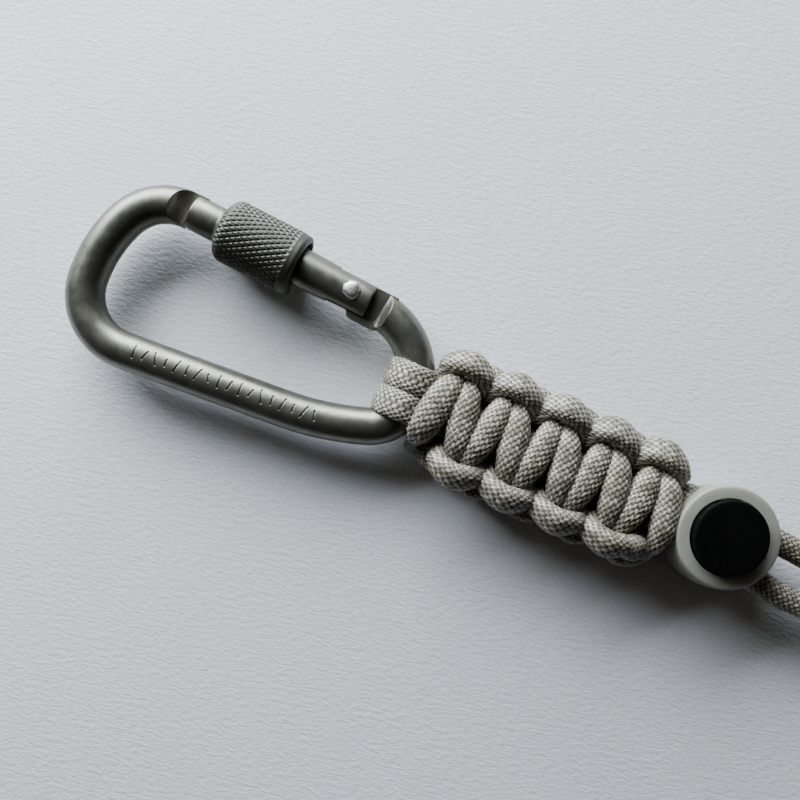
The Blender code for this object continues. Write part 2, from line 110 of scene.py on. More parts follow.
def grid_solid(name, rings, matrix, loop=False, attributes=None, sharp=None):
    """A tube through rings of points (rings, sides, 3). Its ends are capped unless it closes on itself."""
    count, sides = rings.shape[:2]
    points = rings.reshape(-1, 3)
    last = count if loop else count - 1
    i = np.arange(last)[:, None]
    j = np.arange(sides)[None, :]
    near, far = i * sides, ((i + 1) % count) * sides
    after = (j + 1) % sides
    quads = np.stack([near + j, near + after, far + after, far + j], -1).reshape(-1, 4)
    a, b, c, d = (points[quads[:, n]] for n in range(4))
    volume = np.einsum("ij,ij->i", a, np.cross(b, c)).sum() + np.einsum("ij,ij->i", a, np.cross(c, d)).sum()
    faces = quads.tolist()
    if not loop:
        faces += [list(range(sides))[::-1], list(range(len(points) - sides, len(points)))]
    if volume < 0:
        faces = [f[::-1] for f in faces]
    mesh = bpy.data.meshes.new(name)
    points = to_row(points, matrix)
    points[:, 2] = np.maximum(points[:, 2], TABLE_GAP * MM)
    mesh.from_pydata(points.tolist(), [], faces)
    for key, values in (attributes or {}).items():
        kind = "FLOAT_VECTOR" if values.ndim == 3 else "FLOAT"
        layer = mesh.attributes.new(key, kind, "POINT")
        field = "vector" if kind == "FLOAT_VECTOR" else "value"
        layer.data.foreach_set(field, values.astype(np.float32).ravel())
    return finish_mesh(add_object(name, mesh), sharp)


def lathe(name, profile, matrix, steps=96, axis="Z", sharp=30, ripple=None):
    """A profile of (radius, height), turned about Z or X.

    A profile that starts on the axis also ends on it. One that starts off it becomes a closed ring.
    """
    profile = np.asarray(profile, float)
    ring = profile[0, 0] > 1e-6
    if not ring:
        profile = profile[1:-1]
    angles = np.linspace(0, math.tau, steps, endpoint=False)
    radius = profile[:, 0][:, None] * np.ones(steps)
    height = profile[:, 1][:, None] * np.ones(steps)
    if ripple:
        radius = radius + ripple(radius, height, angles[None, :])
    rings = np.stack([radius * np.cos(angles), radius * np.sin(angles), height], -1)
    if axis == "X":
        rings = rings[..., [2, 1, 0]] * np.array([1.0, 1.0, -1.0])
    return grid_solid(name, rings, matrix, loop=ring, sharp=sharp)


def box(name, low, high, matrix):
    points = [(x, y, z) for z in (low[2], high[2]) for y in (low[1], high[1]) for x in (low[0], high[0])]
    faces = [(0, 2, 3, 1), (4, 5, 7, 6), (0, 1, 5, 4), (2, 6, 7, 3), (0, 4, 6, 2), (1, 3, 7, 5)]
    return solid(name, points, faces, matrix)


def plate(name, outline, low, high, matrix):
    count = len(outline)
    points = [(x, y, low) for x, y in outline] + [(x, y, high) for x, y in outline]
    faces = [tuple(range(count))[::-1], tuple(range(count, 2 * count))]
    faces += [(i, (i + 1) % count, (i + 1) % count + count, i + count) for i in range(count)]
    return solid(name, points, faces, matrix)


def carve(obj, tools, sharp=30):
    """Applies (tool, operation) pairs to obj and throws the tools away."""
    for tool, operation in tools:
        mod = obj.modifiers.new(tool.name, "BOOLEAN")
        mod.object = tool
        mod.operation = operation
        mod.solver = "EXACT"
    shaped = bpy.data.meshes.new_from_object(obj.evaluated_get(bpy.context.evaluated_depsgraph_get()))
    obj.modifiers.clear()
    obj.data = shaped
    for tool, _ in tools:
        bpy.data.objects.remove(tool)
    return finish_mesh(obj, sharp)


def round_corner(profile, at, radius, start, end, steps=5):
    """Adds an arc about a point, from start to end degrees, to a (radius, height) profile."""
    for angle in np.linspace(start, end, steps + 1):
        a = math.radians(angle)
        profile.append((at[0] + radius * math.cos(a), at[1] + radius * math.sin(a)))


def spline(rows, samples=20):
    """Catmull-Rom curve through rows of numbers."""
    rows = np.asarray(rows, float)
    p = np.vstack([2 * rows[0] - rows[1], rows, 2 * rows[-1] - rows[-2]])
    t = (np.arange(samples) / samples)[:, None]
    out = []
    for a, b, c, d in zip(p, p[1:], p[2:], p[3:]):
        even = 2 * b + (2 * a - 5 * b + 4 * c - d) * t * t
        odd = (c - a) * t + (3 * b - a - 3 * c + d) * t**3
        out.append(0.5 * (even + odd))
    return np.vstack(out + [rows[-1:]])


def even_steps(rows, step):
    """Resamples dense rows, whose first three numbers are a position, to even distances along the path."""
    along = np.concatenate([[0], np.cumsum(np.linalg.norm(np.diff(rows[:, :3], axis=0), axis=1))])
    count = max(2, int(along[-1] / step))
    at = np.linspace(0, along[-1], count + 1)
    return np.stack([np.interp(at, along, rows[:, n]) for n in range(rows.shape[1])], 1), at


def unit(v):
    return v / np.linalg.norm(v, axis=-1, keepdims=True)


def sections(path, outward, wide, thick, angles, squareness=2.0):
    """Elliptical rings square to a path, and their outward directions. outward is the thin way."""
    tangent = unit(np.gradient(path, axis=0))
    thin = unit(outward - tangent * np.sum(tangent * outward, 1, keepdims=True))
    across = np.cross(thin, tangent)
    c, s = np.cos(angles), np.sin(angles)
    power = 2.0 / squareness
    u = np.sign(c) * np.abs(c) ** power * wide[:, None]
    v = np.sign(s) * np.abs(s) ** power * thick[:, None]
    rings = path[:, None, :] + u[..., None] * across[:, None, :] + v[..., None] * thin[:, None, :]
    facing = (c / wide[:, None])[..., None] * across[:, None, :]
    facing = facing + (s / thick[:, None])[..., None] * thin[:, None, :]
    return rings, unit(facing)


# ---------------------------------------------------------------- braided cord
COLUMNS = 24  # columns of stitches round the cord
STITCH = 0.98  # a stitch's length along the cord
RELIEF = 0.24  # how far a stitch stands out


def stitches(around, along, seed):
    """Height and tone of a braid: columns of grain-shaped stitches that lean alternately. The tone is random
    per stitch, plus a painted sheen that lightens every other column.

    around is in columns and along in millimetres.
    """
    height = np.zeros(np.broadcast(around, along).shape)
    tone_and_sheen = np.zeros(height.shape)
    for near in (-1, 0, 1):
        column = np.floor(around) + near
        odd = column % 2
        v = along / STITCH + 0.5 * odd
        place = np.floor(v)
        dv = v - place - 0.5
        du = around - column - 0.5 - (1 - 2 * odd) * 0.55 * dv
        grain = np.sqrt(np.clip(1 - np.abs(du / 0.6) ** 2.0 - np.abs(2.0 * dv) ** 2.5, 0, 1))
        key = (column % COLUMNS) * 12.9898 + place * 78.233 + seed * 37.719
        chance = np.modf(np.abs(np.sin(key) * 43758.5453))[0]
        grain = grain * (0.8 + 0.25 * chance)
        # Random tone per stitch, plus painted sheen: the odd-column yarn family gets a lighter tone.
        tone_and_sheen = np.where(grain > height, 0.75 * chance + 0.25 * odd, tone_and_sheen)
        height = np.maximum(height, grain)
    return height, tone_and_sheen


def cord(
    name, rows, matrix, seed, step=0.15, relief=RELIEF, squareness=2.25, twist=0.0, bend=None, per_column=4
):
    """A braided cord. Rows hold x, y, z, the outward direction, half width and half thickness."""
    rows, along = even_steps(spline(rows), step)
    if bend is not None:
        rows = bend(rows)
    path, outward, wide, thick = rows[:, :3], rows[:, 3:6], rows[:, 6], rows[:, 7]
    sides = COLUMNS * per_column
    turn = np.linspace(0, math.tau, sides, endpoint=False)[None, :]
    squash = ((wide - thick) / (wide + thick))[:, None]
    angles = turn + 0.25 * squash * np.sin(2 * turn)
    around = turn / math.tau * COLUMNS + twist * along[:, None] + 0.02
    height, tone_and_sheen = stitches(around % COLUMNS, along[:, None] + 0 * turn, seed)
    # Slow unevenness of hand-pulled cord.
    lumps = 0.035 * np.sin(along * 0.9 + seed)[:, None] * np.cos(turn + seed)
    lumps = lumps + 0.02 * np.sin(along * 2.3)[:, None]
    rings, facing = sections(path, outward, wide, thick, angles, squareness)
    rings = rings + facing * ((height - 0.7) * relief + lumps)[..., None]
    strand = np.stack([around * 0.52, along[:, None] + 0 * around, seed + 0 * around], -1)
    layers = {"stitch": height, "tone_and_sheen": tone_and_sheen, "strand": strand}
    return grid_solid(name, rings, matrix, attributes=layers)


# ---------------------------------------------------------------- material helpers
class Nodes:
    """A short way to write node materials."""

    def __init__(self, name):
        self.mat = bpy.data.materials.new(name)
        self.mat.use_nodes = True
        self.tree = self.mat.node_tree
        self.shader = self.tree.nodes["Principled BSDF"]

    def add(self, kind, **values):
        node = self.tree.nodes.new("ShaderNode" + kind)
        for key, value in values.items():
            if hasattr(node, key):
                setattr(node, key, value)
            else:
                self.feed(node, key.replace("_", " "), value)
        return node

    def feed(self, node, socket, value):
        target = node.inputs[socket]
        if isinstance(value, bpy.types.NodeSocket):
            self.tree.links.new(value, target)
        else:
            target.default_value = value

    def place(self):
        return self.add("TexCoord").outputs["Object"]

    def noise(self, size, detail=3.0, vector=None, stretch=None, roughness=0.55):
        """Noise whose features are about size millimetres across."""
        vector = vector or self.place()
        if stretch:
            vector = self.add("Mapping", Vector=vector, Scale=stretch).outputs["Vector"]
        node = self.add("TexNoise", Vector=vector, Scale=1 / (size * MM), Detail=detail, Roughness=roughness)
        return node.outputs["Fac"]

    def attribute(self, name, output="Fac"):
        return self.add("Attribute", attribute_name=name).outputs[output]

    def ramp(self, value, *stops):
        node = self.add("ValToRGB", Fac=value)
        elements = node.color_ramp.elements
        while len(elements) < len(stops):
            elements.new(0.5)
        for element, (at, colour) in zip(elements, stops):
            element.position = at
            colour = (colour,) * 3 if isinstance(colour, (int, float)) else colour
            element.color = (*colour, 1)
        return node.outputs["Color"]

    def math(self, operation, a, b=0.0, clamp=False):
        node = self.add("Math", operation=operation, use_clamp=clamp)
        self.feed(node, 0, a)
        self.feed(node, 1, b)
        return node.outputs[0]

    def mix(self, amount, a, b, blend="MIX"):
        node = self.tree.nodes.new("ShaderNodeMix")
        node.data_type = "RGBA"
        node.blend_type = blend
        for socket, value in ((0, amount), (6, a), (7, b)):
            if isinstance(value, bpy.types.NodeSocket):
                self.tree.links.new(value, node.inputs[socket])
            else:
                node.inputs[socket].default_value = (*value, 1) if isinstance(value, tuple) else value
        return node.outputs[2]

    def bump(self, height, depth, normal=None):
        """depth is the height of the bumps in millimetres."""
        node = self.add("Bump", Height=height, Strength=1.0, Distance=depth * MM)
        if normal is not None:
            self.feed(node, "Normal", normal)
        return node.outputs["Normal"]

    def worn_edges(self, radius):
        return self.add("Bevel", samples=6, Radius=radius * MM).outputs["Normal"]

    def set(self, **values):
        for key, value in values.items():
            self.feed(self.shader, key.replace("_", " "), value)
        return self.mat


def anodised(name, tint=(0.16, 0.16, 0.133), edge=0.16, marks=None, rough=0.33):
    """Satin grey anodised aluminium with a fine blasted grain, faint stains and small dings."""
    n = Nodes(name)
    grain = n.noise(0.11, 2.0)
    blotch = n.noise(3.5, 4.0)
    dark = tuple(c * 0.82 for c in tint)
    light = tuple(min(1.0, c * 1.15) for c in tint)
    colour = n.ramp(blotch, (0.3, dark), (0.7, light))
    speck = n.ramp(n.noise(0.5, 5.0, roughness=0.7), (0.66, 0.0), (0.74, 1.0))
    colour = n.mix(n.math("MULTIPLY", speck, 0.25), colour, (0.4, 0.39, 0.36))
    rough = n.ramp(n.noise(1.4, 4.0), (0.3, rough), (0.7, rough + 0.1))
    normal = n.bump(grain, 0.009, n.worn_edges(edge))
    normal = n.bump(n.noise(0.9, 3.0), 0.012, normal)
    if marks:
        lines = n.noise(marks[0], 2.0, stretch=marks[1])
        normal = n.bump(lines, marks[2], normal)
    return n.set(Base_Color=colour, Metallic=0.88, Roughness=rough, Normal=normal)


def steel(name, tint=(0.66, 0.65, 0.61), rough=0.36):
    """Bright steel with faint hammer marks."""
    n = Nodes(name)
    colour = n.ramp(n.noise(0.8, 4.0), (0.3, tuple(c * 0.75 for c in tint)), (0.7, tint))
    hammer = n.bump(n.noise(0.45, 2.0), 0.035, n.worn_edges(0.08))
    roughness = n.ramp(n.noise(0.3, 4.0), (0.3, rough), (0.7, rough + 0.2))
    return n.set(Base_Color=colour, Metallic=1.0, Roughness=roughness, Normal=hammer)


def sheath(name, light=(0.515, 0.49, 0.405), dark=(0.017, 0.013, 0.009)):
    """Woven nylon with fine yarn along each stitch, coloured by stitch height: painted shade in the crevices
    between stitches and a painted highlight on their crowns.
    """
    n = Nodes(name)
    stitch = n.attribute("stitch")
    tone_and_sheen = n.attribute("tone_and_sheen")
    strand = n.attribute("strand", "Vector")
    drawn_out = n.add("Mapping", Vector=strand, Scale=(14.0, 1.6, 1.0)).outputs[0]
    fibre = n.add("TexNoise", Vector=drawn_out, Scale=1.0, Detail=2.0).outputs["Fac"]
    middle = (0.26 * light[0], 0.25 * light[1], 0.235 * light[2])
    # Painted shade and highlight: low stitch height takes the dark crevice colour, high stitch height the
    # bright crown colour.
    colour = n.ramp(stitch, (0.1, dark), (0.55, middle), (0.92, light))
    # The tone darkens stitches at random and leaves the odd columns lighter as a painted sheen.
    shade = n.ramp(tone_and_sheen, (0.0, 0.62), (1.0, 1.0))
    colour = n.mix(1.0, colour, shade, "MULTIPLY")
    stain = n.ramp(n.noise(6.0, 3.0), (0.3, (0.86, 0.82, 0.74)), (0.65, (1.0, 1.0, 1.0)))
    colour = n.mix(1.0, colour, stain, "MULTIPLY")
    colour = n.mix(0.25, colour, n.ramp(fibre, (0.3, 0.25), (0.7, 0.75)), "OVERLAY")
    rough = n.ramp(stitch, (0.3, 0.7), (0.85, 0.26))
    normal = n.bump(fibre, 0.03)
    return n.set(Base_Color=colour, Roughness=rough, Normal=normal, Specular_IOR_Level=0.85)


def melted(name):
    """Nylon melted and pressed at a cut end: smooth in places, brown-grey, with the braid half gone."""
    n = Nodes(name)
    stitch = n.attribute("stitch")
    # Painted shade: the colour darkens where the stitch height is low, in the crevices of what is left of
    # the braid.
    colour = n.ramp(stitch, (0.1, (0.04, 0.036, 0.03)), (0.8, (0.2, 0.19, 0.16)))
    burn = n.ramp(n.noise(1.4, 4.0), (0.35, (0.45, 0.4, 0.35)), (0.6, (1.0, 1.0, 1.0)))
    colour = n.mix(1.0, colour, burn, "MULTIPLY")
    rough = n.ramp(n.noise(0.9, 3.0), (0.35, 0.28), (0.7, 0.6))
    return n.set(Base_Color=colour, Roughness=rough, Normal=n.bump(n.noise(0.5, 3.0), 0.05))


def milky(name):
    """Translucent milky plastic with moulding haze and fine scuffs."""
    n = Nodes(name)
    haze = n.ramp(n.noise(3.0, 3.0), (0.3, (0.37, 0.37, 0.325)), (0.7, (0.455, 0.455, 0.405)))
    rough = n.ramp(n.noise(0.7, 4.0), (0.3, 0.28), (0.7, 0.48))
    normal = n.bump(n.noise(0.35, 3.0), 0.008, n.worn_edges(0.12))
    n.shader.subsurface_method = "RANDOM_WALK"
    mat = n.set(Base_Color=haze, Roughness=rough, Normal=normal, Subsurface_Weight=0.55)
    n.shader.inputs["Subsurface Radius"].default_value = (1.0, 1.0, 0.9)
    n.shader.inputs["Subsurface Scale"].default_value = 3.0 * MM
    n.shader.inputs["Transmission Weight"].default_value = 0.42
    n.shader.inputs["IOR"].default_value = 1.46
    return mat


def matt_black(name):
    """Matt black moulding with a fine spark finish and one faint scratch."""
    n = Nodes(name)
    colour = n.ramp(n.noise(2.2, 4.0), (0.3, 0.0012), (0.7, 0.0025))
    slant = n.add("Mapping", Vector=n.place(), Rotation=(0, 0, math.radians(-62)), Scale=(1.0, 0.08, 1.0))
    scratch = n.ramp(n.noise(0.8, 2.0, vector=slant.outputs[0]), (0.70, 0.0), (0.73, 1.0))
    colour = n.mix(n.math("MULTIPLY", scratch, 0.5), colour, (0.012, 0.012, 0.012))
    rough = n.ramp(n.noise(0.5, 4.0), (0.3, 0.5), (0.7, 0.68))
    normal = n.bump(n.noise(0.09, 2.0), 0.01, n.worn_edges(0.15))
    return n.set(Base_Color=colour, Roughness=rough, Normal=normal, Specular_IOR_Level=0.06)


def rubber(name):
    """Black rubber of the friction ring."""
    n = Nodes(name)
    colour = n.ramp(n.noise(0.6, 3.0), (0.3, 0.012), (0.7, 0.03))
    return n.set(Base_Color=colour, Roughness=0.7, Normal=n.bump(n.noise(0.15, 2.0), 0.01))


def paper(name):
    """Pale, slightly bluish paper with a fine tooth."""
    n = Nodes(name)
    drawn = n.add("Mapping", Vector=n.place(), Rotation=(0, 0, math.radians(-20)), Scale=(0.45, 1.0, 1.0))
    tooth = n.noise(0.6, 4.0, vector=drawn.outputs[0], roughness=0.65)
    cloud = n.noise(30.0, 3.0)
    colour = n.ramp(cloud, (0.3, (0.705, 0.735, 0.79)), (0.7, (0.74, 0.765, 0.815)))
    colour = n.mix(0.35, colour, n.ramp(tooth, (0.3, 0.38), (0.7, 0.62)), "OVERLAY")
    return n.set(Base_Color=colour, Roughness=0.85, Normal=n.bump(tooth, 0.17), Specular_IOR_Level=0.25)


METAL = anodised("satin_metal")
MILLED = anodised("milled_metal", tint=(0.21, 0.2, 0.165), rough=0.3, marks=(0.5, (1.0, 6.0, 1.0), 0.02))
KNURLED = anodised("knurled_metal", tint=(0.082, 0.081, 0.07), edge=0.05, rough=0.45)
STEEL = steel("bright_steel")
SPRING = steel("spring_steel", (0.5, 0.5, 0.5), 0.2)
SHEATH = sheath("cord_sheath")
MELT = melted("cord_melt")
MILKY = milky("lock_milky")
BLACK = matt_black("lock_black")
RUBBER = rubber("ring_rubber")


def dress(obj, material, body, nodes=()):
    obj.data.materials.clear()
    obj.data.materials.append(material)
    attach(obj, body)
    if nodes:
        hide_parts(*nodes)
    return obj


# ---------------------------------------------------------------- carabiner frame
ROD_R = 3.0


def arc(points, heading, radius, turn, step=2.5):
    """Carries a plan path round a clockwise arc and returns the new heading."""
    h = math.radians(heading)
    centre = np.array(points[-1]) + radius * np.array([math.sin(h), -math.cos(h)])
    for a in h - np.radians(np.linspace(0, turn, max(2, round(turn / step)) + 1)[1:]):
        points.append(tuple(centre + radius * np.array([-math.sin(a), math.cos(a)])))
    return heading - turn


def rod_path():
    """The rod's plan path from the hinge round the small end, along the spine and round to the nose."""
    points = [(14.5, 18.83)]
    heading = arc(points, -7.3, 11.25, 4.1)
    points = points[-1:]
    for radius, turn in ((11.25, 78.6), (7.0, 74.0), (48.3, 16.0)):
        heading = arc(points, heading, radius, turn)
    spine = points[-1]
    for x in np.linspace(spine[0], -20.9, 30)[1:]:
        points.append((x, spine[1]))
    for radius, turn in ((9.1, 90.0), (22.6, 27.0), (9.1, 70.3)):
        heading = arc(points, heading, radius, turn)
    nose = GATE @ Vector((26.8, 0, 0))
    nose = (nose.x + 53.503, nose.y + 7.058)
    last = points[-1]
    for t in np.linspace(0, 1, 6)[1:]:
        points.append((last[0] + (nose[0] - last[0]) * t, last[1] + (nose[1] - last[1]) * t))
    return np.array(points), spine[1]


def tang_outline():
    """The hinge tang in the gate's frame: a round end with a cam that the plunger rides on."""
    outline = [(-7.0, -2.6), (0.0, -2.6)]
    for angle in range(-85, 61, 5):
        reach = 2.6 + 0.42 * min(max(angle, 0), 30) / 30 - 0.7 * max(angle - 35, 0) / 25
        a = math.radians(angle)
        outline.append((reach * math.cos(a), reach * math.sin(a)))
    outline += [(0.3, 2.35), (-0.15, 2.5), (-0.45, 3.0), (-0.75, 3.5), (-1.2, 3.65)]
    return outline + [(-4.9, 3.7), (-5.6, 3.55), (-6.4, 3.0), (-7.0, 2.65)]


def tick(name, x, slant, length, spine_y, offset):
    """A short engraved stroke that keeps the same depth round the rod."""
    depth_r, top = ROD_R - 0.17, 4.0
    rows = []
    for y in np.linspace(-length / 2, length / 2, 9):
        for side in (-1, 1):
            xx = x + slant * y + side * 0.13
            height = math.sqrt(depth_r**2 - (y + offset) ** 2)
            rows.append(((xx, spine_y + offset + y, MID + height), (xx, spine_y + offset + y, MID + top)))
    points = [p for pair in rows for p in pair]
    faces = []
    for i in range(8):
        a = 4 * i
        faces += [(a, a + 4, a + 6, a + 2), (a + 1, a + 3, a + 7, a + 5)]
        faces += [(a, a + 1, a + 5, a + 4), (a + 2, a + 6, a + 7, a + 3)]
    faces += [(0, 2, 3, 1), (32, 33, 35, 34)]
    return solid(name, points, faces, PLAN, sharp=30)


def make_frame():
    path, spine_y = rod_path()
    count = len(path)
    centre = np.column_stack([path, np.full(count, MID)])
    up = np.tile([0.0, 0.0, 1.0], (count, 1))
    radius = np.full(count, ROD_R)
    angles = np.linspace(0, math.tau, 72, endpoint=False)[None, :] + np.zeros((count, 1))
    rings, _ = sections(centre, up, radius, radius, angles)
    obj = grid_solid("frame_rod", rings, PLAN)
    tools = [(plate("tang", tang_outline(), -1.1, 1.1, GATE), "UNION")]
    tools.append((lathe("tang_hole", [(0, -4), (1.25, -4), (1.25, 4), (0, 4)], GATE, 48), "DIFFERENCE"))
    sideways = GATE @ Matrix.Rotation(math.pi / 2, 4, "X")
    for side in (1, -1):
        hollow = [(20.0, side * 5.5), (20.0, side * 1.0)]
        for a in np.radians(np.linspace(-90, 12, 35)):
            hollow.append((28.35 + 3.2 * math.cos(a), side * (4.2 + 3.2 * math.sin(a))))
        hollow.append((31.7, side * 5.5))
        tools.append((plate("hollow", hollow, -5, 5, sideways), "DIFFERENCE"))
        step = [(-4.6, 5.0), (-4.6, 1.12), (-5.45, 1.12), (-5.78, 1.32), (-6.1, 1.68)]
        step += [(-6.38, 2.15), (-6.6, 2.7), (-6.72, 3.3), (-6.75, 5.0)]
        step = [(x, side * y) for x, y in step]
        tools.append((plate("step", step, -5, 5, sideways), "DIFFERENCE"))
    tools.append((box("trim", (20.07, 1.61, -4.7), (28.45, 4.9, 4.7), GATE), "DIFFERENCE"))
    for i in range(18):
        x = -18.25 + 1.73 * i
        slant = (0.0, 0.35, -0.3, 0.0, 0.25)[i % 5]
        length = (2.1, 1.6, 2.0, 1.3)[i % 4]
        tools.append((tick(f"tick_{i}", x, slant, length, spine_y, 0.5 + 0.015 * i), "DIFFERENCE"))
    carve(obj, tools, 32)
    dress(obj, METAL, "carabiner", ["carabiner_frame"])
    obj.data.materials.append(MILLED)
    # Milled faces lie inside the nose's scoops and on the walls of the hinge's steps.
    inverse = GATE.inverted() @ Matrix.Scale(1 / MM, 4)
    for poly in obj.data.polygons:
        p = inverse @ poly.center
        scoop = 24 < p.x < 31.6 and abs(p.y) < 3.2 and math.hypot(p.x - 28.35, abs(p.z) - 4.2) < 3.26
        wall = -6.8 < p.x < -5.42 and 1.1 < abs(p.z) < 3.1
        if scoop or (wall and abs(poly.normal.z) < 0.75 and math.hypot(p.y, p.z) < 2.93):
            poly.material_index = 1
    return obj


# ---------------------------------------------------------------- gate and sleeve
def make_gate():
    profile = [(0.0, -3.2), (2.2, -3.2)]
    round_corner(profile, (2.73, -2.98), 0.22, -90, 0, 4)
    profile += [(2.95, -1.0), (2.95, 3.0), (3.0, 4.6), (3.06, 6.4), (3.1, 8.0), (3.1, 12.0)]
    profile += [(3.1, 18.0), (3.1, 23.0), (2.83, 23.3), (2.83, 25.5)]
    round_corner(profile, (2.63, 27.8), 0.2, 0, 90, 4)
    profile += [(2.0, 28.0), (0.0, 28.0)]
    obj = lathe("gate_tube", profile, GATE, 96, "X")
    tools = [(box("fork", (-6, -6, -1.4), (3.4, 6, 1.4), GATE), "DIFFERENCE")]
    bore = [(0, 2.4), (1.7, 2.4), (1.7, 14.0), (0, 14.0)]
    tools.append((lathe("bore", bore, GATE, 48, "X"), "DIFFERENCE"))
    tools.append((lathe("hole", [(0, -4), (1.25, -4), (1.25, 4), (0, 4)], GATE, 48), "DIFFERENCE"))
    for side in (1, -1):
        low, high = sorted((side * 2.7, side * 4.0))
        spot = [(0, low), (1.5, low), (1.5, high), (0, high)]
        tools.append((lathe("spot", spot, RIVET_HEAD, 64), "DIFFERENCE"))
    tools.append((box("pocket", (26.2, -6, -1.3), (31, 1.9, 1.3), GATE), "DIFFERENCE"))
    tools.append((box("spring_window", (5.6, 2.2, -0.55), (9.2, 4.0, 0.55), GATE), "DIFFERENCE"))
    carve(obj, tools, 32)
    return dress(obj, METAL, "gate", ["gate_barrel"])


RIVET_HEAD = placed(GATE, 0.12, -0.32, 0, 0)


def make_rivet():
    profile = [(0.0, -3.58), (0.7, -3.5), (1.15, -3.3), (1.38, -3.0), (1.42, -2.78), (1.0, -2.74)]
    profile += [(1.0, 2.74), (1.42, 2.78), (1.38, 3.0), (1.15, 3.3), (0.7, 3.5), (0.0, 3.58)]

    def dents(radius, height, angle):
        hammered = np.sin(angle * 3 + 1.0) + 0.7 * np.sin(angle * 7 + height * 5)
        return 0.035 * hammered * np.clip(radius, 0, 1.4) * (np.abs(height) > 2.76)

    obj = lathe("rivet", profile, RIVET_HEAD, 72, ripple=dents, sharp=50)
    return dress(obj, STEEL, "gate", ["hinge_rivet"])


def make_sleeve():
    starts, length, radius_out = 34, 14.2, 5.13
    outer = []
    round_corner(outer, (4.25, 1.4), 0.8, -90, -8, 8)
    outer += [(5.05, 1.6), (5.08, 1.8), (5.11, 2.0)]
    outer += [(radius_out, x) for x in np.arange(2.1, length - 1.95, 0.1)]
    round_corner(outer, (3.3, length - 1.83), 1.83, 2, 88, 24)
    outer += [(3.3, length), (3.25, length - 0.1)]
    ring = 6.4  # middle of the friction ring's groove
    outer += [(3.25, length - 1.0), (3.35, ring + 0.75), (4.45, ring + 0.75), (4.45, ring - 0.75)]
    outer += [(3.35, ring - 0.75), (3.35, 2.9), (4.0, 2.5), (4.1, 1.6), (4.1, 0.7), (4.2, 0.6)]

    def knurl(radius, height, angle):
        along = height / (radius_out * math.tan(math.radians(58)))
        grooves = []
        for turn in (1, -1):
            phase = (angle + turn * along) * starts / math.tau
            grooves.append(np.abs(phase - np.floor(phase) - 0.5) * 2)
        cut = np.maximum(*grooves)
        cut = np.clip((cut - 0.55) / 0.4, 0, 1)
        fade = np.clip((height - 2.1) / 0.4, 0, 1) * np.clip((radius - 3.7) / 0.5, 0, 1)
        return -0.2 * cut * fade

    obj = lathe("sleeve_knurl", outer, SLEEVE, 340, "X", ripple=knurl, sharp=None)
    return dress(obj, KNURLED, "sleeve", ["screw_sleeve"])


# ---------------------------------------------------------------- cord pieces
PITCH, FIRST, KNOTS = 4.23, 4.72, 10


def weave_rows(behind=False):
    """A weaving cord that crosses in front. Its twin is turned half way round the weave's axis.

    The twin starts behind, against the rod, so its first stations differ.
    """
    rows = []
    for k in range(KNOTS):
        side = -1.0 if k % 2 == 0 else 1.0
        x = FIRST + PITCH * k
        stations = []
        first = k == 0 and not behind
        last = k == KNOTS - 1
        if first:
            stations += [(-2.4, -1, 2.2, -3.4, -75, 1.8, 1.15), (-1.4, -1, 5.1, -2.7, -50, 1.7, 1.4)]
            stations += [(0.4, -1, 6.3, -0.2, 5, 1.1, 1.8)]
            stations += [(0.8, -1, 5.4, 2.15, 38, 1.5, 1.5), (0.3, -1, 3.2, 3.6, 72, 2.3, 1.55)]
        elif k == 0:
            stations += [(-1.2, -1, 3.2, 2.5, 60, 1.5, 1.2), (-1.35, -1, 5.1, 2.8, 50, 1.5, 1.3)]
            stations += [(-0.9, -1, 6.2, 2.9, 55, 1.6, 1.4), (0.4, -1, 5.4, 2.9, 62, 1.7, 1.5)]
            stations += [(0.5, -1, 3.2, 3.4, 72, 2.0, 1.55)]
        else:
            stations += [(0.95, -1, 5.3, 2.15, 38, 1.45, 1.5), (0.55, -1, 3.2, 3.45, 72, 2.0, 1.55)]
        stations += [
            (-0.4 * first, 1, 0.0, 3.75 + 0.1 * first, 90, 2.2 + 0.35 * first, 1.5),
            (-0.5 - 0.4 * first, 1, 3.2, 3.45, 72, 2.0 + 0.35 * first, 1.55),
            (-0.95 - 0.35 * first, 1, 5.3 - 0.5 * first, 2.15, 38, 1.45 + 0.45 * first, 1.5),
            (-1.1 - 0.2 * first, 1, 5.8 - 0.8 * first, 0.1, 5, 1.15, 1.8 - 0.3 * first),
        ]
        if not last:
            tuck = 2.0 * first
            stations += [
                (-1.3, 1, 6.3 - 0.5 * tuck, -1.5, -15, 1.45, 1.75),
                (-0.35, 1, 7.7 - tuck, -2.7, -40, 2.0, 1.65),
                (PITCH / 2, 1, 8.5 - 0.85 * tuck, -3.3, -50, 2.3, 1.6),
                (PITCH + 0.35, 1, 7.7 - 0.15 * tuck, -2.7, -40, 2.0, 1.65),
                (PITCH + 1.3, 1, 6.3, -1.5, -15, 1.45, 1.75),
                (PITCH + 1.1, 1, 5.8, 0.1, 5, 1.15, 1.8),
            ]
        else:
            stations += [(-1.0, 1, 6.9, -1.4, -20, 1.5, 1.5), (-0.8, 1, 7.6, -2.4, -40, 1.6, 1.4)]
        for dx, across, y, z, lean, wide, thick in stations:
            edge = side * across
            a = math.radians(lean)
            rows.append((x + dx, edge * y, z, 0.0, edge * math.cos(a), math.sin(a), wide, thick))
    return np.array(rows)


